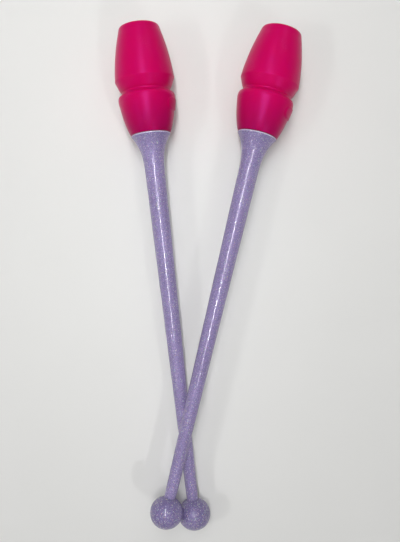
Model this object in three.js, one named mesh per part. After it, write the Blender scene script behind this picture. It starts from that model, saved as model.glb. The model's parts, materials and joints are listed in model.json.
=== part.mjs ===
// A pair of rhythmic gymnastics clubs, lying crossed as they are put down between exercises.
// Each club is a soft rubber head on a hollow tapered handle that ends in a ball. The head has a finger groove
// round it and a socket in its end, so that the ball of the other club can be snapped in to link the two.
// Every piece is turned round its club's own axis: an outline in (radius, height) is revolved about +Y, with
// height 0 at the centre of the ball. The clubs are then laid on the plane Z = 0, one across the other.
// Units are millimetres, and +Z is up.

import * as THREE from "three";

// Overall sizes of one club.
const CLUB_LENGTH = 450;
const BALL_RADIUS = 14.4;
const HEAD_END = CLUB_LENGTH - BALL_RADIUS;

// Heights along the club, from the centre of the ball.
const TUBE_SEAT = 9; // the tube's small end, sunk in the ball
const FLARE_START = 306; // where the tube begins to open like a trumpet
const RIM = 340.3; // the handle's rim, under the head
const COLLAR_EDGE = 369.8; // the widest ring below the groove
const GROOVE_START = 376.9;
const GROOVE_END = 378.9;
const BARREL_EDGE = 388.2; // the widest ring above the groove
const BARREL_TOP = 429.3; // where the barrel begins to round over
const SEAT_FLOOR = 409.4; // the lowest point of the ball's seat, on top of the core

// Outer radii at those heights.
const TUBE_TIP_RADIUS = 5.1;
const TUBE_TOP_RADIUS = 8.8;
const RIM_RADIUS = 17.5;
const COLLAR_RADIUS = 25.1;
const GROOVE_RADIUS = 21.3;
const BARREL_RADIUS = 26.25;
const BARREL_TOP_RADIUS = 19.3;
const END_FLAT_RADIUS = 16.2; // outer edge of the flat ring on the end of the head

// Walls and inner sizes.
const GAP = 0.3; // between pieces that touch
const RUBBER_WALL = 4.7;
const CORE_WALL = 2.5;
const TUBE_WALL = 2.2;
const MOUTH_RADIUS = 12; // tighter than the ball, so that the rubber snaps over it
const LIP_THICKNESS = 3.4;
const SOCKET_ROOF = 431; // the underside of the lip, where it meets the socket's wall
const SEAT_RADIUS = 10;
const SPIGOT_END = 321; // the core's small end, in the handle's flare
const PIN_RADIUS = 2.5;
const PIN_START = -7;
const PIN_END = 34;
const WEIGHT_RADIUS = 2.9;
const WEIGHT_END = 112;
const PLUG_RADIUS = 3.6;
const PLUG_LENGTH = 14;

// How the pair lies.
const CROSS_ANGLE = THREE.MathUtils.degToRad(20.05);
const LOWER_CROSSING = 73.1; // from the lower ball's centre to the crossing
const UPPER_CROSSING = 68.3; // from the upper ball's centre to the crossing: the balls then just touch

// Segments round the axis, and in each curved stretch of an outline.
const ROUND_OUTSIDE = 32;
const ROUND_INSIDE = 20;
const CURVE_STEPS = 4;

const rubber = { color: 0xc8055f, roughness: 0.55, metalness: 0 };
const glitterPlastic = { color: 0x9682b4, roughness: 0.2, metalness: 0.1 };
const plainPlastic = { color: 0xe6e2d8, roughness: 0.5, metalness: 0 };
const steel = { color: 0x9a9ca0, roughness: 0.35, metalness: 1 };
const foam = { color: 0x4a4a50, roughness: 0.95, metalness: 0 };

// Outside of the handle, from the small end to the rim.
const handleOutside = new THREE.Path();
handleOutside.moveTo(TUBE_TIP_RADIUS, TUBE_SEAT);
handleOutside.lineTo(TUBE_TOP_RADIUS, FLARE_START);
handleOutside.bezierCurveTo(
  TUBE_TOP_RADIUS,
  FLARE_START + 15,
  RIM_RADIUS - 6.6,
  RIM - 10,
  RIM_RADIUS,
  RIM - 0.6,
);

// Outside of the head, from the rim to the flat ring on its end.
const headOutside = new THREE.Path();
headOutside.moveTo(RIM_RADIUS + 0.2, RIM + GAP);
headOutside.bezierCurveTo(
  RIM_RADIUS + 3,
  RIM + 5.6,
  COLLAR_RADIUS - 1.8,
  COLLAR_EDGE - 12.3,
  COLLAR_RADIUS,
  COLLAR_EDGE,
);
headOutside.quadraticCurveTo(
  COLLAR_RADIUS + 0.4,
  COLLAR_EDGE + 2.6,
  COLLAR_RADIUS - 1.3,
  COLLAR_EDGE + 4.6,
);
headOutside.lineTo(GROOVE_RADIUS, GROOVE_START);
headOutside.lineTo(GROOVE_RADIUS, GROOVE_END);
headOutside.bezierCurveTo(
  GROOVE_RADIUS + 2.1,
  GROOVE_END + 2,
  BARREL_RADIUS,
  BARREL_EDGE - 5,
  BARREL_RADIUS,
  BARREL_EDGE,
);
headOutside.bezierCurveTo(
  BARREL_RADIUS - 0.65,
  BARREL_EDGE + 14,
  BARREL_TOP_RADIUS + 3.2,
  BARREL_TOP - 11,
  BARREL_TOP_RADIUS,
  BARREL_TOP,
);
headOutside.bezierCurveTo(
  BARREL_TOP_RADIUS - 1,
  BARREL_TOP + 3.4,
  END_FLAT_RADIUS + 1.9,
  HEAD_END,
  END_FLAT_RADIUS,
  HEAD_END,
);

const handleLine = handleOutside.getPoints(CURVE_STEPS);
const headLine = headOutside.getPoints(CURVE_STEPS);

// A body's radius at a height, read off its outline.
function radiusAt(line, height) {
  const next = Math.max(1, line.findIndex((point) => point.y >= height));
  const [low, high] = [line[next - 1], line[next]];
  return THREE.MathUtils.mapLinear(height, low.y, high.y, low.x, high.x);
}

// The part of an outline between two heights, its two ends included, moved inwards by a wall's thickness.
function insideOf(line, wall, from, to) {
  const between = line.filter((point) => point.y > from && point.y < to).map((point) => [point.x, point.y]);
  const ends = [from, to].map((height) => [radiusAt(line, height), height]);
  return [ends[0], ...between, ends[1]].map(([radius, height]) => [radius - wall, height]);
}

// The seat in the core's top, from its rim to the axis: an arc that the ball of the other club fits.
function seatLine() {
  const sphere = BALL_RADIUS + GAP;
  const halfAngle = Math.asin(SEAT_RADIUS / sphere);
  return Array.from({ length: CURVE_STEPS + 1 }, (_, step) => {
    const angle = halfAngle * (1 - step / CURVE_STEPS);
    return [sphere * Math.sin(angle), SEAT_FLOOR + sphere * (1 - Math.cos(angle))];
  });
}

// Turns an outline, listed from the bottom up along the outside, into one closed solid of revolution.
function turned(name, points, look, segments) {
  const outline = points.map(([radius, height]) => new THREE.Vector2(radius, height));
  const mesh = new THREE.Mesh(new THREE.LatheGeometry(outline, segments), new THREE.MeshStandardMaterial(look));
  mesh.name = name;
  return mesh;
}

// A plain round bar with bevelled ends.
function bar(name, radius, from, to, look) {
  const bevel = 0.5;
  const outline = [
    [0, from],
    [radius - bevel, from],
    [radius, from + bevel],
    [radius, to - bevel],
    [radius - bevel, to],
    [0, to],
  ];
  return turned(name, outline, look, ROUND_INSIDE);
}

// Soft head: its outside, the socket's mouth and lip, and an inside that follows the outside one wall in.
function head(club) {
  const inside = insideOf(headLine, RUBBER_WALL, RIM + GAP, SOCKET_ROOF).reverse();
  const outline = [
    ...headLine.map((point) => [point.x, point.y]),
    [MOUTH_RADIUS + 0.6, HEAD_END],
    [MOUTH_RADIUS, HEAD_END - 0.6],
    [MOUTH_RADIUS, HEAD_END - LIP_THICKNESS],
    ...inside,
  ];
  outline.push(outline[0]);
  return turned(`${club}_head`, outline, rubber, ROUND_OUTSIDE);
}

// Stiff core: the rubber grips its waist, its small end is bonded into the flare, and its top is the ball's seat.
function headCore(club) {
  const inFlare = TUBE_WALL + GAP;
  const inHead = RUBBER_WALL + GAP;
  const seat = seatLine();
  const ceiling = SEAT_FLOOR - CORE_WALL;
  const outline = [
    ...insideOf(handleLine, inFlare, SPIGOT_END, RIM - 1),
    [radiusAt(headLine, RIM + GAP) - inHead, RIM],
    ...insideOf(headLine, inHead, RIM + 1, seat[0][1]),
    ...seat,
    [0, ceiling],
    ...insideOf(headLine, inHead + CORE_WALL, RIM + 2, ceiling).reverse(),
    ...insideOf(handleLine, inFlare + CORE_WALL, SPIGOT_END, RIM - 2).reverse(),
  ];
  outline.push(outline[0]);
  return turned(`${club}_head_core`, outline, plainPlastic, ROUND_INSIDE);
}

// Hollow handle: a straight taper that opens into the flare, with a rounded rim.
function handle(club) {
  const inside = insideOf(handleLine, TUBE_WALL, TUBE_SEAT, RIM - 0.6).reverse();
  const outline = [
    ...handleLine.map((point) => [point.x, point.y]),
    [RIM_RADIUS - 0.1, RIM - 0.2],
    [RIM_RADIUS - 0.5, RIM],
    [RIM_RADIUS - TUBE_WALL + 0.2, RIM],
    ...inside,
  ];
  outline.push(outline[0]);
  return turned(`${club}_handle`, outline, glitterPlastic, ROUND_OUTSIDE);
}

// Ball: a sphere with a seat for the tube's end and a deeper hole for the pin.
function ball(club) {
  const seatRadius = TUBE_TIP_RADIUS + GAP;
  const holeRadius = PIN_RADIUS + GAP;
  const lastAngle = Math.PI - Math.asin(seatRadius / BALL_RADIUS);
  const steps = 16;
  const sphere = Array.from({ length: steps + 1 }, (_, step) => {
    const angle = (lastAngle * step) / steps;
    return [BALL_RADIUS * Math.sin(angle), -BALL_RADIUS * Math.cos(angle)];
  });
  const outline = [
    ...sphere,
    [seatRadius, TUBE_SEAT - GAP],
    [holeRadius, TUBE_SEAT - GAP],
    [holeRadius, PIN_START - GAP],
    [0, PIN_START - GAP],
  ];
  return turned(`${club}_ball`, outline, glitterPlastic, ROUND_OUTSIDE);
}

// Every piece of one club, in its own frame.
function club(name) {
  const group = new THREE.Group();
  group.add(
    head(name),
    headCore(name),
    handle(name),
    ball(name),
    bar(`${name}_ball_pin`, PIN_RADIUS, PIN_START, PIN_END, plainPlastic),
    bar(`${name}_balance_weight`, WEIGHT_RADIUS, PIN_END + GAP, WEIGHT_END, steel),
    bar(`${name}_weight_plug`, PLUG_RADIUS, WEIGHT_END + GAP, WEIGHT_END + GAP + PLUG_LENGTH, foam),
  );
  return group;
}

// The slope at which a club rests with its head on the plane, where its axis is held up at one point.
// A ring of the head at distance d from that point and radius r touches the plane when
// r cos(slope) - d sin(slope) equals the axis's height there, and the ring that needs most slope carries the club.
function restingSlope(heldAt, height) {
  const slopes = headLine.map(({ x: radius, y }) => {
    const along = y - heldAt;
    return Math.acos(height / Math.hypot(radius, along)) - Math.atan2(along, radius);
  });
  return Math.max(...slopes);
}

// Direction of a club's axis, from the ball to the head.
function axisOf(heading, slope) {
  return new THREE.Vector3(0, 1, 0).applyEuler(new THREE.Euler(slope, 0, -heading, "ZYX"));
}

// Lays a club so that the point of its axis at heldAt stands over the crossing, at that height.
function lay(group, heading, slope, heldAt, height) {
  group.rotation.set(slope, 0, -heading, "ZYX");
  group.position.copy(axisOf(heading, slope)).multiplyScalar(-heldAt);
  group.position.z += height;
}

const lowerSlope = restingSlope(0, BALL_RADIUS);
const lowerHeight = BALL_RADIUS + LOWER_CROSSING * Math.sin(lowerSlope);

// The upper tube lies on the lower one, so the two axes are one tube's radius and the other's apart, square to both.
const apart = radiusAt(handleLine, LOWER_CROSSING) + radiusAt(handleLine, UPPER_CROSSING) + GAP;
const lowerAxis = axisOf(-CROSS_ANGLE / 2, lowerSlope);
const firstSlope = restingSlope(UPPER_CROSSING, lowerHeight + apart);
const between = lowerAxis.clone().cross(axisOf(CROSS_ANGLE / 2, firstSlope)).normalize();
const upperHeight = lowerHeight + apart / Math.abs(between.z);
const upperSlope = restingSlope(UPPER_CROSSING, upperHeight);

const lowerClub = club("lower");
const upperClub = club("upper");
lay(lowerClub, -CROSS_ANGLE / 2, lowerSlope, LOWER_CROSSING, lowerHeight);
lay(upperClub, CROSS_ANGLE / 2, upperSlope, UPPER_CROSSING, upperHeight);

// The origin is under the middle of the pair, on the plane that it lies on.
const pair = new THREE.Group();
pair.add(lowerClub, upperClub);
const extent = new THREE.Box3().setFromObject(pair, true);
const middle = extent.getCenter(new THREE.Vector3());
pair.position.set(-middle.x, -middle.y, -extent.min.z);

export default pair;
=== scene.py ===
"""Looks of a pair of rhythmic gymnastics clubs, lying crossed on a pale floor.

Every visible piece of a club is turned: an outline in (radius, height) is revolved about the club's axis, with height 0
at the centre of the ball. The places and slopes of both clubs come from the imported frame.
"""

import json
from math import pi, radians

import bpy
import numpy as np
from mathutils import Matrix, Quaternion, Vector


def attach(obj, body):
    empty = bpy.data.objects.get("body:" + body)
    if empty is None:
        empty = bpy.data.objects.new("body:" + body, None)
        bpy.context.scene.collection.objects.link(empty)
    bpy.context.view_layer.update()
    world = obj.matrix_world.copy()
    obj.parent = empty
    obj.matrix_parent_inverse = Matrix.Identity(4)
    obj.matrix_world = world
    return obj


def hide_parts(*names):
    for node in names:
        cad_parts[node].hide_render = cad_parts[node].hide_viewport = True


bl_info = {
    "name": "Gymnastics Clubs",
    "version": (1, 0, 0),
    "blender": (4, 5, 0),
    "location": "View3D > Sidebar > Clubs",
    "description": "Fine surfaces, finishes and a studio for a pair of gymnastics clubs",
    "category": "Object",
}


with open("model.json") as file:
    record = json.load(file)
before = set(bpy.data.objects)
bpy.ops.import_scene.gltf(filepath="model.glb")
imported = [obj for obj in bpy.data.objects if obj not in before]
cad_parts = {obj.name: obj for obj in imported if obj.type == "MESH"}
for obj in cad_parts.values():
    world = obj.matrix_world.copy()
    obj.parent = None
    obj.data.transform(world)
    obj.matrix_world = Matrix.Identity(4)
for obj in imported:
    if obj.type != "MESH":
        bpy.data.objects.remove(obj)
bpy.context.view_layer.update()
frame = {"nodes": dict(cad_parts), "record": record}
MM = 0.001
CLUBS = ("lower", "upper")

# Where the glitter's pattern starts in each piece, in metres, so that no two pieces show the same stretch of it
GLITTER_STARTS = {"lower_handle": 0.0, "upper_handle": 1.37, "lower_ball": 2.71, "upper_ball": 4.19}

# How far apart the slopes of two faces are where the edge between them stays sharp
SHARP_EDGE = radians(50)
SHARP_CORE_EDGE = radians(40)


# Settings that a user would change


def length(name, description, default):
    """A length setting, in metres, from a default in millimetres."""
    return bpy.props.FloatProperty(
        name=name, description=description, default=default * MM, min=0, unit="LENGTH", precision=5
    )


def colour(name, description, default):
    """A colour setting, in linear values."""
    return bpy.props.FloatVectorProperty(
        name=name, description=description, default=default, size=3, min=0, max=1, subtype="COLOR"
    )


def number(name, description, default):
    """A plain number setting."""
    return bpy.props.FloatProperty(name=name, description=description, default=default, min=0)


class ClubSizes(bpy.types.PropertyGroup):
    """Sizes of one club. Heights are from the centre of the ball."""

    ball: length("Ball", "Radius of the ball", 14.4)
    tip: length("Tip", "Radius of the handle's small end", 5.1)
    seat: length("Seat", "Height of the handle's small end, sunk in the ball", 9)
    tube: length("Tube", "Radius of the handle below the flare", 8.8)
    flare: length("Flare", "Height where the handle begins to open", 306)
    rim_height: length("Rim height", "Height of the handle's rim, under the head", 340.3)
    rim: length("Rim", "Radius of the handle's rim", 17.5)
    collar_height: length("Collar height", "Height of the widest ring below the groove", 369.8)
    collar: length("Collar", "Radius of the widest ring below the groove", 25.1)
    groove_height: length("Groove height", "Height of the lower edge of the groove's floor", 376.9)
    groove_width: length("Groove width", "Width of the groove's floor", 2)
    groove: length("Groove", "Radius of the groove's floor", 21.3)
    barrel_height: length("Barrel height", "Height of the widest ring above the groove", 388.2)
    barrel: length("Barrel", "Radius of the widest ring above the groove", 26.25)
    shoulder_height: length("Shoulder height", "Height where the barrel begins to round over", 429.3)
    shoulder: length("Shoulder", "Radius where the barrel begins to round over", 19.3)
    end_height: length("End height", "Height of the flat end of the head", 435.6)
    end_ring: length("End ring", "Outer radius of the flat ring on the head's end", 16.2)
    mouth: length("Mouth", "Radius of the socket's mouth", 12)
    lip: length("Lip", "Thickness of the lip round the mouth", 3.4)
    roof: length("Roof", "Height where the lip meets the socket's wall", 431)
    rubber_wall: length("Rubber wall", "Thickness of the rubber", 4.7)
    core_wall: length("Core wall", "Thickness of the core", 2.5)
    tube_wall: length("Tube wall", "Thickness of the handle's wall", 2.2)
    gap: length("Gap", "Gap between pieces that touch", 0.3)
    seat_floor: length("Seat floor", "Height of the lowest point of the ball's seat", 409.4)
    seat_rim: length("Seat rim", "Radius of the ball's seat", 10)
    spigot: length("Spigot", "Height of the core's small end", 321)
    pin: length("Pin", "Radius of the ball's pin", 2.5)
    pin_start: length("Pin depth", "Depth of the pin's hole below the ball's centre", 7.3)
    pad_height: length("Pad height", "Height of the blank raised pad's middle", 363.5)
    pad_length: length("Pad length", "Half the pad's size along the club", 5.6)
    pad_span: length("Pad span", "Half the pad's size round the club", 11)
    pad_rise: length("Pad rise", "How far the pad stands out", 0.75)
    pad_side: bpy.props.FloatProperty(
        name="Pad side", description="Where the pad is, from the top towards the right", default=radians(74),
        subtype="ANGLE",
    )


class ClubFinishes(bpy.types.PropertyGroup):
    """Colours of the pieces."""

    rubber: colour("Rubber", "Soft head", (0.57, 0.001, 0.1))
    # Painted shade: the darker colour that the rubber fades to near the handle stands in for the shade on the lower
    # collar
    rubber_painted_shade: colour("Rubber shade", "Soft head where it meets the handle", (0.38, 0.0027, 0.083))
    rubber_drift: colour("Rubber drift", "Tone that the soft head drifts to in patches", (0.51, 0.0014, 0.086))
    rubber_scuff: colour("Rubber scuff", "Scuffs on the soft head", (0.70, 0.10, 0.25))
    handle: colour("Handle", "Glitter plastic of the handle", (0.28, 0.225, 0.44))
    # Painted highlight: the rim's paler colour stands in for the light caught by the handle's rounded edge
    rim: colour("Rim", "Edge of the handle, under the head", (0.6, 0.54, 0.74))
    ball: colour("Ball", "Glitter plastic of the ball", (0.215, 0.172, 0.365))
    core: colour("Core", "Plain plastic of the core and the pin", (0.79, 0.76, 0.69))
    steel: colour("Steel", "Balance weight", (0.33, 0.34, 0.35))
    foam: colour("Foam", "Weight plug", (0.07, 0.07, 0.08))
    flake: length("Flake", "Size of the large glitter flakes", 0.75)
    pearl: length("Pearl", "Size of the fine pearl grains", 0.5)
    handle_share: number("Handle flakes", "Share of the places for a large flake that hold one, in the handle", 0.12)
    ball_share: number("Ball flakes", "Share of the places for a large flake that hold one, in the ball", 0.22)


class StudioSettings(bpy.types.PropertyGroup):
    """Camera, floor and lights."""

    lens: number("Lens", "Focal length in millimetres, on a 36 mm sensor", 45.6)
    camera_height: length("Camera height", "Height of the camera over the floor", 631.7)
    camera_right: bpy.props.FloatProperty(
        name="Camera right", description="Camera's place along X", default=0.8 * MM, unit="LENGTH"
    )
    camera_forward: bpy.props.FloatProperty(
        name="Camera forward", description="Camera's place along Y", default=-2.8 * MM, unit="LENGTH"
    )
    pitch: bpy.props.FloatProperty(
        name="Pitch", description="Tilt of the view towards the heads", default=0.0139, subtype="ANGLE"
    )
    yaw: bpy.props.FloatProperty(
        name="Yaw", description="Tilt of the view towards the right", default=-0.0061, subtype="ANGLE"
    )
    roll: bpy.props.FloatProperty(
        name="Roll", description="Turn of the picture", default=radians(3.53), subtype="ANGLE"
    )
    floor: colour("Floor", "Floor colour", (0.76, 0.76, 0.745))
    floor_size: length("Floor size", "Side of the floor", 12000)
    floor_glow: colour("Floor glow", "Light of the far floor, past the reach of the lamps", (0.5, 0.5, 0.49))
    sky: number("Sky", "Strength of the even light from all sides", 0.16)
    sky_tint: colour("Sky tint", "Colour of the even light", (1, 0.995, 0.98))
    backdrop: number("Backdrop", "Brightness of the backdrop behind the floor", 0.7)


def sizes():
    """The size settings in use."""
    return bpy.context.scene.club_sizes


def finishes():
    """The finish settings in use."""
    return bpy.context.scene.club_finishes


def studio():
    """The studio settings in use."""
    return bpy.context.scene.club_studio


# Where the clubs lie


def vertices(node):
    """A CAD node's vertices, as an array of points in metres."""
    mesh = frame["nodes"][node].data
    points = np.empty(len(mesh.vertices) * 3, np.float32)
    mesh.vertices.foreach_get("co", points)
    return points.reshape(-1, 3).astype(float)


def club_frame(club):
    """A club's own frame: its origin at the ball's centre, and its right, along and up directions.

    The along direction is the axis of the mount on the head's end. The middle of the handle's vertices lies on the
    axis, because the handle is a body of revolution. The ball's centre is one radius past the ball's far end.
    """
    mounts = {mount["name"]: mount for mount in frame["record"]["mounts"]}
    along = np.array(mounts[f"{club}_head_end"]["axis"], float)
    along /= np.linalg.norm(along)
    middle = vertices(f"{club}_handle").mean(axis=0)
    far_end = ((vertices(f"{club}_ball") - middle) @ along).min()
    origin = middle + along * (far_end + sizes().ball)
    right = np.cross(along, (0, 0, 1))
    right /= np.linalg.norm(right)
    return origin, right, along, np.cross(right, along)


# Outlines, as arrays of (radius, height)


def curve(*controls, steps=16):
    """Points of a Bezier curve of any degree, found by drawing each pair of controls together step by step."""
    share = np.linspace(0, 1, steps + 1)[:, None, None]
    points = np.repeat(np.array(controls, float)[None], steps + 1, axis=0)
    while points.shape[1] > 1:
        points = points[:, :-1] * (1 - share) + points[:, 1:] * share
    return points[:, 0]


def near(radius, height, outward=0, upward=0):
    """A point at a radius and a height, moved outward and upward by millimetres."""
    return radius + outward * MM, height + upward * MM


def straight(start, end, steps):
    """Evenly spaced points of a straight stretch."""
    return curve(start, end, steps=steps)


def joined(*stretches):
    """One outline from stretches laid end to end, without the points that repeat."""
    points = np.vstack(stretches)
    keep = np.r_[True, np.linalg.norm(np.diff(points, axis=0), axis=1) > 0.001 * MM]
    return points[keep]


def rounded(corner, before, after, radius, steps=6):
    """A corner rounded over by a quadratic curve that leaves each side at the given distance."""
    corner, before, after = (np.array(point, float) for point in (corner, before, after))
    start = corner + (before - corner) / np.linalg.norm(before - corner) * radius
    end = corner + (after - corner) / np.linalg.norm(after - corner) * radius
    return curve(start, corner, end, steps=steps)


def handle_line():
    """Outside of the handle, from the small end to the rim: a straight taper and a trumpet curve."""
    s = sizes()
    taper = straight((s.tip, s.seat), (s.tube, s.flare), steps=90)
    flare = curve(
        (s.tube, s.flare),
        near(s.tube, s.flare, 0, 15),
        near(s.rim, s.rim_height, -6.6, -10),
        near(s.rim, s.rim_height, 0, -1),
        steps=40,
    )
    return joined(taper, flare)


def head_line():
    """Outside of the head, from its lower edge over the collar, the groove and the barrel to the flat end."""
    s = sizes()
    groove_end = s.groove_height + s.groove_width
    collar = curve(
        near(s.rim, s.rim_height + s.gap, 0.2),
        near(s.rim, s.rim_height, 3, 5.6),
        near(s.collar, s.collar_height, -1.8, -12.3),
        (s.collar, s.collar_height),
        steps=48,
    )
    ledge = near(s.collar, s.collar_height, -1.2, 4.9)
    edge = curve((s.collar, s.collar_height), near(s.collar, s.collar_height, 0.2, 4), ledge, steps=14)
    foot = rounded((s.groove, s.groove_height), ledge, (s.groove, groove_end), 0.9 * MM)
    rise = curve(
        near(s.groove, groove_end, 0, -0.4),
        near(s.groove, groove_end, 2.1, 1.2),
        near(s.barrel, s.barrel_height, -2, -4.6),
        near(s.barrel, s.barrel_height, -0.15, -0.5),
        steps=24,
    )
    barrel = curve(
        (s.barrel, s.barrel_height),
        near(s.barrel, s.barrel_height, -0.65, 14),
        near(s.shoulder, s.shoulder_height, 3.2, -11),
        (s.shoulder, s.shoulder_height),
        steps=48,
    )
    shoulder = curve(
        (s.shoulder, s.shoulder_height),
        near(s.shoulder, s.shoulder_height, -1, 3.4),
        near(s.end_ring, s.end_height, 1.9),
        (s.end_ring, s.end_height),
        steps=20,
    )
    return joined(collar, edge, foot, rise, barrel, shoulder)


def radius_at(line, height):
    """An outline's radius at a height."""
    return float(np.interp(height, line[:, 1], line[:, 0]))


def inside_of(line, wall, start, end):
    """The part of an outline between two heights, moved inwards by a wall's thickness."""
    between = line[(line[:, 1] > start) & (line[:, 1] < end)]
    ends = [(radius_at(line, height), height) for height in (start, end)]
    return np.vstack([ends[:1], between, ends[1:]]) - (wall, 0)


def head_outline():
    """The head's whole outline: outside, flat ring, mouth, lip, and the inside that follows the outside."""
    s = sizes()
    outside = head_line()
    inside = inside_of(outside, s.rubber_wall, s.rim_height + s.gap, s.roof)[::-1]
    edge = (s.mouth, s.end_height)
    under = (s.mouth, s.end_height - s.lip)
    ring = straight((s.end_ring, s.end_height), near(s.mouth, s.end_height, 0.9), steps=4)
    mouth = rounded(edge, (s.end_ring, s.end_height), under, 0.8 * MM)
    lip = rounded(under, edge, inside[0], 0.7 * MM)
    return joined(outside, ring, mouth, lip, inside, outside[:1])


def handle_outline():
    """The handle's whole outline: outside, rounded rim, and the inside that follows the outside."""
    s = sizes()
    outside = handle_line()
    inside = inside_of(outside, s.tube_wall, s.seat, s.rim_height - 1 * MM)[::-1]
    rim = curve(outside[-1], near(s.rim, s.rim_height, 0.05), near(s.rim, s.rim_height, -1), steps=8)
    return joined(outside, rim, [near(inside[0, 0], s.rim_height, 0.2)], inside, outside[:1])


def core_outline():
    """The core's whole outline: spigot, waist, top, the ball's seat, the ceiling and the inside."""
    s = sizes()
    in_flare = s.tube_wall + s.gap
    in_head = s.rubber_wall + s.gap
    sphere = s.ball + s.gap
    angle = np.linspace(np.arcsin(s.seat_rim / sphere), 0, 21)
    seat = np.column_stack([sphere * np.sin(angle), s.seat_floor + sphere * (1 - np.cos(angle))])
    ceiling = s.seat_floor - s.core_wall
    waist = inside_of(head_line(), in_head, s.rim_height + 1 * MM, seat[0, 1])
    return joined(
        inside_of(handle_line(), in_flare, s.spigot, s.rim_height - 1 * MM),
        [(radius_at(head_line(), s.rim_height + s.gap) - in_head, s.rim_height)],
        waist[:-1],
        rounded(waist[-1], waist[-2], seat[0], 0.5 * MM),
        rounded(seat[0], waist[-1], seat[1], 0.4 * MM),
        seat[1:],
        [(0, ceiling)],
        inside_of(head_line(), in_head + s.core_wall, s.rim_height + 2 * MM, ceiling)[::-1],
        inside_of(handle_line(), in_flare + s.core_wall, s.spigot, s.rim_height - 2 * MM)[::-1],
    )


def ball_outline():
    """The ball's outline: a sphere from its far end to the seat of the handle, and the pin's hole."""
    s = sizes()
    seat = s.tip + s.gap
    hole = s.pin + s.gap
    angle = np.linspace(0, pi - np.arcsin(seat / s.ball), 97)
    sphere = np.column_stack([s.ball * np.sin(angle), -s.ball * np.cos(angle)])
    floor = s.seat - s.gap
    bottom = -s.pin_start
    edge = rounded(sphere[-1], sphere[-8], (seat, floor), 0.25 * MM)
    return joined(sphere[:-1], edge, [(seat, floor), (hole, floor), (hole, bottom), (0, bottom)])


# Turned surfaces


def turned(name, outline, club, segments=160, swell=None):
    """A closed surface of revolution. The point at share t of a turn is origin + height times the along direction +
    radius times (sin t times right + cos t times up), and swell adds to the radius by height and angle.

    An outline that starts and ends on the axis gets a fan of triangles at each end, and any other is closed on
    itself. The outline runs with the solid on its left, so the faces point outwards.
    """
    origin, right, along, up = club_frame(club)
    closed = outline[0, 0] > 0
    rings = outline[:-1] if closed and np.allclose(outline[0], outline[-1]) else outline
    if not closed:
        rings = outline[1:-1]
    angle = np.linspace(0, 2 * pi, segments, endpoint=False)
    radius = np.repeat(rings[:, :1], segments, axis=1)
    height = np.repeat(rings[:, 1:], segments, axis=1)
    if swell is not None:
        radius = radius + swell(radius, height, np.broadcast_to(angle, radius.shape))
    own = np.stack([radius * np.sin(angle), height, radius * np.cos(angle)], axis=-1).reshape(-1, 3)
    count = len(rings)
    ring = np.arange(count) if closed else np.arange(count - 1)
    column = np.arange(segments)
    low = ring[:, None] * segments
    high = (ring[:, None] + 1) % count * segments
    after = (column + 1) % segments
    quads = np.stack([low + column, high + column, high + after, low + after], axis=-1).reshape(-1, 4)
    faces = quads.tolist()
    if not closed:
        poles = np.array([[0, outline[0, 1], 0], [0, outline[-1, 1], 0]])
        own = np.vstack([own, poles])
        first, last = count * segments, count * segments + 1
        top = (count - 1) * segments
        faces += np.column_stack([np.full(segments, first), column, after]).tolist()
        faces += np.column_stack([np.full(segments, last), top + after, top + column]).tolist()
    mesh = bpy.data.meshes.new(name)
    places = origin + own @ np.array([right, along, up])
    mesh.from_pydata(places.tolist(), [], faces)
    mesh.update()
    mesh.shade_smooth()
    attribute = mesh.attributes.new("club_space", "FLOAT_VECTOR", "POINT")
    attribute.data.foreach_set("vector", own.astype(np.float32).ravel())
    piece = bpy.data.objects.new(name, mesh)
    bpy.context.scene.collection.objects.link(piece)
    return piece


def stand_for(piece, node, material):
    """Gives a piece its material and its body, and hides the CAD node that it stands for."""
    piece.data.materials.append(material)
    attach(piece, f"{node.split('_')[0]}_club")
    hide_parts(node)


def sharpen(piece, angle):
    """Marks the edges where two faces meet at more than an angle as sharp."""
    piece.data.set_sharp_from_angle(angle=angle)


# Shader helpers


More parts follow.
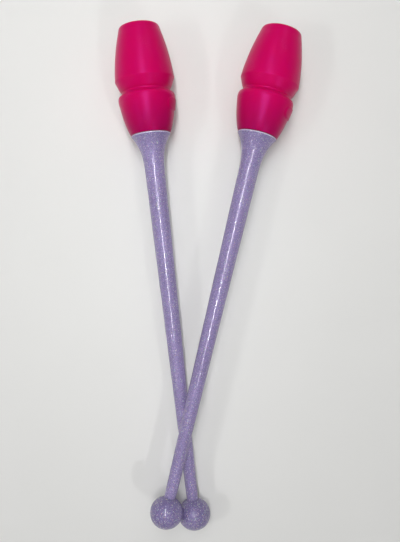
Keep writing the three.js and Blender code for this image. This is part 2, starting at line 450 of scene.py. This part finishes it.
class Shader:
    """A new material or node group, with short ways to add nodes and links."""

    def __init__(self, tree):
        """Starts from a tree with its nodes cleared."""
        self.tree = tree
        self.tree.nodes.clear()

    def add(self, kind, **settings):
        """Adds a node. A setting named like an attribute of the node is set on it, and others on its inputs."""
        node = self.tree.nodes.new(kind)
        for key, value in settings.items():
            if hasattr(node, key):
                setattr(node, key, value)
            else:
                self.feed(node.inputs[key.replace("_", " ")], value)
        return node

    def feed(self, socket, value):
        """Links an output to a socket, or sets the socket's own value."""
        if isinstance(value, bpy.types.NodeSocket):
            self.tree.links.new(value, socket)
        else:
            socket.default_value = value

    def maths(self, operation, *values):
        """A Math node's output."""
        node = self.add("ShaderNodeMath", operation=operation)
        for socket, value in zip(node.inputs, values):
            self.feed(socket, value)
        return node.outputs[0]

    def vector_maths(self, operation, *values):
        """A Vector Math node's vector output."""
        node = self.add("ShaderNodeVectorMath", operation=operation)
        for socket, value in zip(node.inputs, values):
            self.feed(socket, value)
        return node.outputs["Vector"]

    def scaled(self, vector, factor):
        """A vector times a number."""
        node = self.add("ShaderNodeVectorMath", operation="SCALE")
        self.feed(node.inputs[0], vector)
        self.feed(node.inputs["Scale"], factor)
        return node.outputs["Vector"]

    def mix(self, factor, first, second):
        """A colour mixed from two. The Mix node keeps its colour sockets after those for numbers and vectors."""
        node = self.add("ShaderNodeMix", data_type="RGBA")
        self.feed(node.inputs[0], factor)
        self.feed(node.inputs[6], first)
        self.feed(node.inputs[7], second)
        return node.outputs[2]

    def noise(self, vector, scale, detail=2.0, roughness=0.5):
        """A Noise texture's value output."""
        node = self.add("ShaderNodeTexNoise", Vector=vector, Scale=scale, Detail=detail)
        node.inputs["Roughness"].default_value = roughness
        return node.outputs["Fac"]

    def spread(self, value, low, high, new_low=0.0, new_high=1.0):
        """A value mapped smoothly from one range to another, and held at its ends."""
        node = self.add("ShaderNodeMapRange", interpolation_type="SMOOTHSTEP")
        for socket, given in zip(node.inputs, (value, low, high, new_low, new_high)):
            self.feed(socket, given)
        return node.outputs[0]

    def place(self, group, **settings):
        """Adds a shader node group with its own values."""
        node = self.tree.nodes.new("ShaderNodeGroup")
        node.node_tree = group
        for key, value in settings.items():
            self.feed(node.inputs[key.replace("_", " ")], value)
        return node


def new_material(name):
    """A material with an empty tree, and its Shader."""
    material = bpy.data.materials.new(name)
    material.use_nodes = True
    return material, Shader(material.node_tree)


def new_group(name, inputs, outputs):
    """A shader node group with named sockets, its Shader, its input node and its output node."""
    group = bpy.data.node_groups.new(name, "ShaderNodeTree")
    shader = Shader(group)
    for label, kind, default in inputs:
        socket = group.interface.new_socket(label, in_out="INPUT", socket_type=kind)
        if default is not None:
            socket.default_value = default
    for label, kind in outputs:
        group.interface.new_socket(label, in_out="OUTPUT", socket_type=kind)
    return group, shader, shader.add("NodeGroupInput"), shader.add("NodeGroupOutput")


def glitter_group():
    """Glitter in plastic: fine pearl grains that vary the colour a little, and sparse large flakes, each a disc in a
    cell with a tint of its own and a face turned at random from the surface."""
    darkest_grain, grain_range = 0.72, 0.56
    least_hue, hue_range = 0.475, 0.05
    disc, disc_core = 0.5, 0.36
    most_tint = 0.45
    grain_turn = 0.16
    found = bpy.data.node_groups.get("glitter")
    if found:
        return found
    group, shader, given, made = new_group(
        "glitter",
        [
            ("Vector", "NodeSocketVector", None),
            ("Base", "NodeSocketColor", (0.3, 0.2, 0.45, 1)),
            ("Pearl Size", "NodeSocketFloat", 0.3 * MM),
            ("Flake Size", "NodeSocketFloat", 0.6 * MM),
            ("Share", "NodeSocketFloat", 0.1),
            ("Turn", "NodeSocketFloat", 0.5),
        ],
        [("Color", "NodeSocketColor"), ("Flake", "NodeSocketFloat"), ("Normal", "NodeSocketVector")],
    )
    vector, base = given.outputs["Vector"], given.outputs["Base"]
    grains = shader.add(
        "ShaderNodeTexVoronoi", Vector=vector, Scale=shader.maths("DIVIDE", 1.0, given.outputs["Pearl Size"])
    )
    flakes = shader.add(
        "ShaderNodeTexVoronoi", Vector=vector, Scale=shader.maths("DIVIDE", 1.0, given.outputs["Flake Size"])
    )
    grain = shader.add("ShaderNodeSeparateColor", Color=grains.outputs["Color"])
    flake = shader.add("ShaderNodeSeparateColor", Color=flakes.outputs["Color"])
    lighter = shader.maths("MULTIPLY_ADD", grain.outputs["Red"], grain_range, darkest_grain)
    pearl = shader.add("ShaderNodeHueSaturation", Color=base)
    shader.feed(pearl.inputs["Value"], lighter)
    shader.feed(pearl.inputs["Hue"], shader.maths("MULTIPLY_ADD", grain.outputs["Green"], hue_range, least_hue))
    inside = shader.spread(flakes.outputs["Distance"], disc, disc_core)
    chosen = shader.maths("LESS_THAN", flake.outputs["Blue"], given.outputs["Share"])
    mask = shader.maths("MULTIPLY", inside, chosen)
    tint = shader.add("ShaderNodeCombineColor", mode="HSV")
    shader.feed(tint.inputs[0], flake.outputs["Red"])
    shader.feed(tint.inputs[1], shader.maths("MULTIPLY", flake.outputs["Green"], most_tint))
    shader.feed(tint.inputs[2], 1.0)
    shader.feed(made.inputs["Color"], shader.mix(mask, pearl.outputs[0], tint.outputs[0]))
    shader.feed(made.inputs["Flake"], mask)
    surface = shader.add("ShaderNodeNewGeometry").outputs["Normal"]
    turns = []
    for cells, amount in ((flakes, mask), (grains, grain_turn)):
        centred = shader.vector_maths("SUBTRACT", cells.outputs["Color"], (0.5, 0.5, 0.5))
        turns.append(shader.scaled(centred, shader.maths("MULTIPLY", amount, given.outputs["Turn"])))
    turned_face = shader.vector_maths("ADD", surface, shader.vector_maths("ADD", *turns))
    shader.feed(made.inputs["Normal"], shader.vector_maths("NORMALIZE", turned_face))
    return group


def wear_group():
    """Handling marks: fine scuffs in patches, as a mask, and a slow drift of tone from 0 to 1."""
    found = bpy.data.node_groups.get("wear")
    if found:
        return found
    group, shader, given, made = new_group(
        "wear",
        [
            ("Vector", "NodeSocketVector", None),
            ("Size", "NodeSocketFloat", 20 * MM),
            ("Amount", "NodeSocketFloat", 0.5),
        ],
        [("Scuffs", "NodeSocketFloat"), ("Drift", "NodeSocketFloat")],
    )
    scale = shader.maths("DIVIDE", 1.0, given.outputs["Size"])
    vector = given.outputs["Vector"]
    patches = shader.spread(shader.noise(vector, scale, detail=3), 0.52, 0.72)
    fine_scale = shader.maths("MULTIPLY", scale, 22.0)
    fine = shader.spread(shader.noise(vector, fine_scale, detail=4, roughness=0.7), 0.5, 0.75)
    scuffs = shader.maths("MULTIPLY", shader.maths("MULTIPLY", patches, fine), given.outputs["Amount"])
    slow_scale = shader.maths("MULTIPLY", scale, 0.6)
    shader.feed(made.inputs["Scuffs"], scuffs)
    shader.feed(made.inputs["Drift"], shader.noise(vector, slow_scale, detail=1))
    return group


def opaque(rgb):
    """A colour setting with full alpha."""
    return (*rgb, 1)


def rubber_material():
    """Satin moulded rubber: saturated, a little translucent, with a fine moulded grain and faint scuffs. Painted shade
    makes it darker and duller towards the handle, where the collar gets less light."""
    s, f = sizes(), finishes()
    material, shader = new_material("rubber_finish")
    own = shader.add("ShaderNodeAttribute", attribute_name="club_space").outputs["Vector"]
    height = shader.add("ShaderNodeSeparateXYZ", Vector=own).outputs["Y"]
    wear = shader.place(wear_group(), Vector=own, Size=16 * MM, Amount=0.35)
    # Painted shade: 1 at the handle's rim and 0 just past the collar, darkening the rubber where the collar gets less
    # light
    lower = shader.spread(height, s.rim_height, s.collar_height + 4 * MM, 1, 0)
    tone = shader.mix(lower, opaque(f.rubber), opaque(f.rubber_painted_shade))
    drift = shader.spread(wear.outputs["Drift"], 0.3, 0.7, 0, 0.35)
    tone = shader.mix(drift, tone, opaque(f.rubber_drift))
    tone = shader.mix(wear.outputs["Scuffs"], tone, opaque(f.rubber_scuff))
    grains_per_metre, swells_per_metre = 2600, 130
    grain = shader.noise(own, grains_per_metre, detail=3)
    swell = shader.noise(own, swells_per_metre, detail=2)
    relief = shader.maths("ADD", shader.maths("MULTIPLY", grain, 0.25), swell)
    bump = shader.add("ShaderNodeBump", Strength=0.22, Distance=0.12 * MM, Height=relief)
    roughness = shader.maths("ADD", 0.34, shader.maths("MULTIPLY", wear.outputs["Scuffs"], 0.25))
    surface = shader.add("ShaderNodeBsdfPrincipled", Roughness=roughness, Normal=bump.outputs[0])
    shader.feed(surface.inputs["Base Color"], tone)
    surface.inputs["IOR"].default_value = 1.48
    surface.inputs["Subsurface Weight"].default_value = 0.4
    surface.inputs["Subsurface Radius"].default_value = (1.0, 0.12, 0.3)
    surface.inputs["Subsurface Scale"].default_value = 6 * MM
    surface.inputs["Specular IOR Level"].default_value = 0.32
    surface.inputs["Specular Tint"].default_value = (0.9, 0.16, 1.0, 1)
    shader.add("ShaderNodeOutputMaterial", Surface=surface.outputs[0])
    return material


def glitter_material(name, base, share, start):
    """Clear-coated plastic with glitter in it, fine handling marks in the coat, and a painted highlight at the handle's
    rim:
    a paler band that stands in for the light caught by its rounded edge.
    The pattern starts at a distance along the first direction."""
    s, f = sizes(), finishes()
    material, shader = new_material(name)
    own = shader.add("ShaderNodeAttribute", attribute_name="club_space").outputs["Vector"]
    moved = shader.vector_maths("ADD", own, (start, 0, 0))
    wear = shader.place(wear_group(), Vector=moved, Size=30 * MM, Amount=0.5)
    drift = shader.spread(wear.outputs["Drift"], 0.3, 0.7, 0.94, 1.05)
    shaded = shader.add("ShaderNodeHueSaturation", Color=opaque(base))
    shader.feed(shaded.inputs["Value"], drift)
    height = shader.add("ShaderNodeSeparateXYZ", Vector=own).outputs["Y"]
    # Painted highlight: a paler band just below the rim's height, for the light caught by the rounded rim
    rim = shader.spread(height, s.rim_height - 1.4 * MM, s.rim_height - 1 * MM)
    body = shader.mix(rim, shaded.outputs[0], opaque(f.rim))
    glitter = shader.place(
        glitter_group(), Vector=moved, Base=body, Pearl_Size=f.pearl, Flake_Size=f.flake, Share=share, Turn=0.9
    )
    flake = glitter.outputs["Flake"]
    roughness = shader.maths("MULTIPLY_ADD", flake, -0.25, 0.5)
    surface = shader.add("ShaderNodeBsdfPrincipled", Roughness=roughness, Normal=glitter.outputs["Normal"])
    shader.feed(surface.inputs["Base Color"], glitter.outputs["Color"])
    shader.feed(surface.inputs["Metallic"], shader.maths("MULTIPLY_ADD", flake, 0.3, 0.06))
    surface.inputs["IOR"].default_value = 1.5
    surface.inputs["Specular IOR Level"].default_value = 0.25
    shader.feed(surface.inputs["Coat Weight"], shader.spread(wear.outputs["Scuffs"], 0, 1, 1.0, 0.75))
    surface.inputs["Coat Roughness"].default_value = 0.02
    surface.inputs["Coat IOR"].default_value = 1.46
    shader.add("ShaderNodeOutputMaterial", Surface=surface.outputs[0])
    return material


def plain_plastic_material():
    """Plain moulded plastic with a faint satin grain and a slow drift of tone."""
    material, shader = new_material("plastic_finish")
    place = shader.add("ShaderNodeTexCoord").outputs["Object"]
    wear = shader.place(wear_group(), Vector=place, Size=10 * MM, Amount=0.5)
    core = finishes().core
    tone = shader.mix(wear.outputs["Drift"], opaque(core), opaque([value * 0.86 for value in core]))
    grain = shader.noise(place, 1500, detail=3)
    bump = shader.add("ShaderNodeBump", Strength=0.2, Distance=0.1 * MM, Height=grain)
    roughness = shader.spread(wear.outputs["Scuffs"], 0, 1, 0.42, 0.65)
    surface = shader.add("ShaderNodeBsdfPrincipled", Roughness=roughness, Normal=bump.outputs[0])
    shader.feed(surface.inputs["Base Color"], tone)
    shader.add("ShaderNodeOutputMaterial", Surface=surface.outputs[0])
    return material


def steel_material():
    """Turned steel bar, with fine rings from the lathe."""
    material, shader = new_material("steel_finish")
    place = shader.add("ShaderNodeTexCoord").outputs["Object"]
    stretched = shader.add("ShaderNodeMapping", Vector=place, Scale=(40, 4000, 40)).outputs[0]
    rings = shader.noise(stretched, 1, detail=2)
    dark = [value * 0.75 for value in finishes().steel]
    surface = shader.add(
        "ShaderNodeBsdfPrincipled",
        Roughness=shader.spread(rings, 0.3, 0.7, 0.28, 0.45),
        Metallic=1.0,
        Normal=shader.add("ShaderNodeBump", Strength=0.25, Distance=0.05 * MM, Height=rings).outputs[0],
    )
    shader.feed(surface.inputs["Base Color"], shader.mix(rings, opaque(dark), opaque(finishes().steel)))
    shader.add("ShaderNodeOutputMaterial", Surface=surface.outputs[0])
    return material


def foam_material():
    """Open soft foam, with small dark cells."""
    material, shader = new_material("foam_finish")
    place = shader.add("ShaderNodeTexCoord").outputs["Object"]
    cells = shader.add("ShaderNodeTexVoronoi", Vector=place, Scale=1800.0).outputs["Distance"]
    light = [value * 1.6 for value in finishes().foam]
    surface = shader.add(
        "ShaderNodeBsdfPrincipled",
        Roughness=0.95,
        Normal=shader.add("ShaderNodeBump", Strength=0.8, Distance=0.2 * MM, Height=cells).outputs[0],
    )
    shader.feed(surface.inputs["Base Color"], shader.mix(cells, opaque(finishes().foam), opaque(light)))
    shader.add("ShaderNodeOutputMaterial", Surface=surface.outputs[0])
    return material


def shared_material(name, make):
    """The material of that name, made the first time that it is asked for. The name isn't one of the CAD's own."""
    return bpy.data.materials.get(name) or make()


# Pieces


def pad_swell(radius, height, angle):
    """Height of the blank oval pad: full inside an ellipse on the collar's side, and rounded down at its edge."""
    s = sizes()
    squareness = 2.6
    edge_width = 0.16
    across = (angle - s.pad_side) * radius / s.pad_span
    lengthwise = (height - s.pad_height) / s.pad_length
    outside = (radius > s.collar * 0.75) & (height < s.collar_height + 1 * MM)
    reach = np.sqrt(np.abs(across) ** squareness + np.abs(lengthwise) ** squareness)
    edge = np.clip((1 - reach) / edge_width, 0, 1)
    return np.where(outside, s.pad_rise * edge * edge * (3 - 2 * edge), 0)


class CLUBS_OT_heads(bpy.types.Operator):
    """Make both soft rubber heads, with their grooves, sockets and blank pads."""

    bl_idname = "clubs.heads"
    bl_label = "Heads"

    def execute(self, context):
        """Turns a head for each club, with more segments where the pad is."""
        for club in CLUBS:
            piece = turned(f"{club}_head_skin", head_outline(), club, segments=288, swell=pad_swell)
            sharpen(piece, SHARP_EDGE)
            stand_for(piece, f"{club}_head", shared_material("rubber_finish", rubber_material))
        return {"FINISHED"}


class CLUBS_OT_cores(bpy.types.Operator):
    """Make both head cores, whose tops are the seats at the bottom of the sockets."""

    bl_idname = "clubs.cores"
    bl_label = "Head cores"

    def execute(self, context):
        """Turns a core for each club."""
        for club in CLUBS:
            piece = turned(f"{club}_core_body", core_outline(), club, segments=96)
            sharpen(piece, SHARP_CORE_EDGE)
            material = shared_material("plastic_finish", plain_plastic_material)
            stand_for(piece, f"{club}_head_core", material)
        return {"FINISHED"}


class CLUBS_OT_handles(bpy.types.Operator):
    """Make both hollow glitter handles, from the small end to the flare's rim."""

    bl_idname = "clubs.handles"
    bl_label = "Handles"

    def execute(self, context):
        """Turns a handle for each club."""
        f = finishes()
        for club in CLUBS:
            start = GLITTER_STARTS[f"{club}_handle"]
            material = glitter_material(f"{club}_handle_glitter", f.handle, f.handle_share, start)
            piece = turned(f"{club}_handle_tube", handle_outline(), club)
            sharpen(piece, SHARP_EDGE)
            stand_for(piece, f"{club}_handle", material)
        return {"FINISHED"}


class CLUBS_OT_balls(bpy.types.Operator):
    """Make both balls, each with the seat for its handle."""

    bl_idname = "clubs.balls"
    bl_label = "Balls"

    def execute(self, context):
        """Turns a ball for each club."""
        f = finishes()
        for club in CLUBS:
            start = GLITTER_STARTS[f"{club}_ball"]
            material = glitter_material(f"{club}_ball_glitter", f.ball, f.ball_share, start)
            piece = turned(f"{club}_ball_body", ball_outline(), club)
            sharpen(piece, SHARP_EDGE)
            stand_for(piece, f"{club}_ball", material)
        return {"FINISHED"}


class CLUBS_OT_inside(bpy.types.Operator):
    """Finish the pins, balance weights and plugs inside the handles."""

    bl_idname = "clubs.inside"
    bl_label = "Inside pieces"

    def execute(self, context):
        """Gives each CAD node that stays its material."""
        made = {
            "ball_pin": shared_material("plastic_finish", plain_plastic_material),
            "balance_weight": shared_material("steel_finish", steel_material),
            "weight_plug": shared_material("foam_finish", foam_material),
        }
        for club in CLUBS:
            for part, material in made.items():
                node = frame["nodes"][f"{club}_{part}"]
                node.data.materials.clear()
                node.data.materials.append(material)
        return {"FINISHED"}


# Studio


def floor_material():
    """Pale smooth board, with a very faint drift of tone and a soft sheen. Past the reach of the lamps it glows as
    bright as it is under them, so that its far part is as pale as its middle."""
    material, shader = new_material("studio_floor")
    place = shader.add("ShaderNodeTexCoord").outputs["Object"]
    wear = shader.place(wear_group(), Vector=place, Size=60 * MM, Amount=0.4)
    base = studio().floor
    tone = shader.mix(wear.outputs["Drift"], opaque(base), opaque([value * 0.965 for value in base]))
    tone = shader.mix(wear.outputs["Scuffs"], tone, opaque([value * 0.93 for value in base]))
    surface = shader.add("ShaderNodeBsdfPrincipled", Roughness=0.42)
    shader.feed(surface.inputs["Base Color"], tone)
    surface.inputs["Specular IOR Level"].default_value = 0.3
    distance = shader.add("ShaderNodeVectorMath", operation="LENGTH", Vector=place).outputs["Value"]
    far = shader.spread(distance, 0.35, 1.8)
    glow = shader.mix(far, opaque((0, 0, 0)), opaque(studio().floor_glow))
    shader.feed(surface.inputs["Emission Color"], glow)
    surface.inputs["Emission Strength"].default_value = 1
    material.cycles.emission_sampling = "NONE"
    shader.add("ShaderNodeOutputMaterial", Surface=surface.outputs[0])
    return material


def area_light(name, place, size, power, towards, spread=180, turn=0):
    """A rectangular lamp at a place, facing another. Its light stays in a cone as wide as the spread, and the turn is
    about the line that it faces along. Both are in degrees."""
    lamp = bpy.data.lights.new(name, "AREA")
    lamp.shape = "RECTANGLE"
    lamp.size, lamp.size_y = size
    lamp.energy = power
    lamp.spread = radians(spread)
    light = bpy.data.objects.new(name, lamp)
    bpy.context.scene.collection.objects.link(light)
    light.location = place
    aim = (Vector(towards) - Vector(place)).to_track_quat("-Z", "Y")
    light.rotation_euler = (aim @ Quaternion((0, 0, 1), radians(turn))).to_euler()
    return light


class CLUBS_OT_stage(bpy.types.Operator):
    """Set the floor, the lights and the camera."""

    bl_idname = "clubs.stage"
    bl_label = "Studio"

    def execute(self, context):
        """Makes the camera over the clubs, a plain floor, a long ceiling lamp with smaller ones round it, and an even
        sky that is seen as a pale backdrop."""
        s = studio()
        scene = context.scene
        camera = bpy.data.objects.new("camera", bpy.data.cameras.new("camera"))
        scene.collection.objects.link(camera)
        camera.data.lens = s.lens
        camera.location = (s.camera_right, s.camera_forward, s.camera_height)
        camera.rotation_euler = (s.pitch, s.yaw, s.roll)
        camera.data.clip_start = 0.01
        scene.camera = camera

        half = s.floor_size / 2
        mesh = bpy.data.meshes.new("floor")
        corners = [(-half, -half, 0), (half, -half, 0), (half, half, 0), (-half, half, 0)]
        mesh.from_pydata(corners, [], [(0, 1, 2, 3)])
        mesh.materials.append(floor_material())
        floor = bpy.data.objects.new("floor", mesh)
        scene.collection.objects.link(floor)

        # Each lamp's name, its place and size in metres, its power in watts, and the point that it faces
        area_light("long_lamp", (-0.2, 0.76, 1.5), (0.03, 2.2), 6.1, (-0.2, 0.76, 0), spread=100, turn=9.5)
        area_light("soft_box", (-0.05, 0.25, 1.4), (1, 1), 0.75, (0, 0.1, 0), spread=60)
        area_light("left_window", (-1.9, 0.3, 1.0), (2.6, 1.8), 2.1, (0, 0, 0))
        left_lamp = area_light("left_lamp", (-1.35, -0.42, 1.5), (0.06, 0.06), 4, (0, 0, 0))
        left_lamp.visible_glossy = False  # the tube beside it is the one that shines on the coats
        area_light("left_tube", (-1.2, -0.74, 1.5), (0.05, 0.4), 2.2, (-1.2, -0.74, 0))
        area_light("near_lamp", (1.84, -2.2, 3), (0.12, 0.12), 19, (0, 0, 0))
        area_light("far_lamp", (0.93, 1.9, 1.5), (0.06, 0.06), 2.4, (0, 0, 0))
        area_light("low_lamp", (-0.3, -1.95, 1.5), (0.06, 0.06), 1.2, (0, 0, 0))

        world = bpy.data.worlds.new("sky")
        world.use_nodes = True
        sky = Shader(world.node_tree)
        seen = sky.add("ShaderNodeLightPath").outputs["Is Camera Ray"]
        strength = sky.spread(seen, 0, 1, s.sky, s.backdrop)
        background = sky.add("ShaderNodeBackground", Color=opaque(s.sky_tint), Strength=strength)
        sky.add("ShaderNodeOutputWorld", Surface=background.outputs[0])
        scene.world = world
        scene.view_settings.view_transform = "Standard"
        return {"FINISHED"}


class CLUBS_PT_panel(bpy.types.Panel):
    """Buttons for the pieces and the studio, and their settings."""

    bl_idname = "CLUBS_PT_panel"
    bl_label = "Gymnastics Clubs"
    bl_space_type = "VIEW_3D"
    bl_region_type = "UI"
    bl_category = "Clubs"

    def draw(self, context):
        """Lists the operators, then the settings of each group."""
        for operator in OPERATORS:
            self.layout.operator(operator.bl_idname)
        for settings in (sizes(), finishes(), studio()):
            box = self.layout.box()
            for name in settings.__annotations__:
                box.prop(settings, name)


OPERATORS = (CLUBS_OT_stage, CLUBS_OT_heads, CLUBS_OT_cores, CLUBS_OT_handles, CLUBS_OT_balls, CLUBS_OT_inside)
GROUPS = {"club_sizes": ClubSizes, "club_finishes": ClubFinishes, "club_studio": StudioSettings}


def register():
    """Registers the settings, the operators and the panel."""
    for name, group in GROUPS.items():
        bpy.utils.register_class(group)
        setattr(bpy.types.Scene, name, bpy.props.PointerProperty(type=group))
    for operator in OPERATORS:
        bpy.utils.register_class(operator)
    bpy.utils.register_class(CLUBS_PT_panel)


def unregister():
    """Takes back what register did, in the opposite order."""
    bpy.utils.unregister_class(CLUBS_PT_panel)
    for operator in reversed(OPERATORS):
        bpy.utils.unregister_class(operator)
    for name, group in reversed(GROUPS.items()):
        delattr(bpy.types.Scene, name)
        bpy.utils.unregister_class(group)


def main():
    """Makes everything."""
    register()
    for make in ("stage", "heads", "cores", "handles", "balls", "inside"):
        getattr(bpy.ops.clubs, make)()


if __name__ == "__main__":
    main()
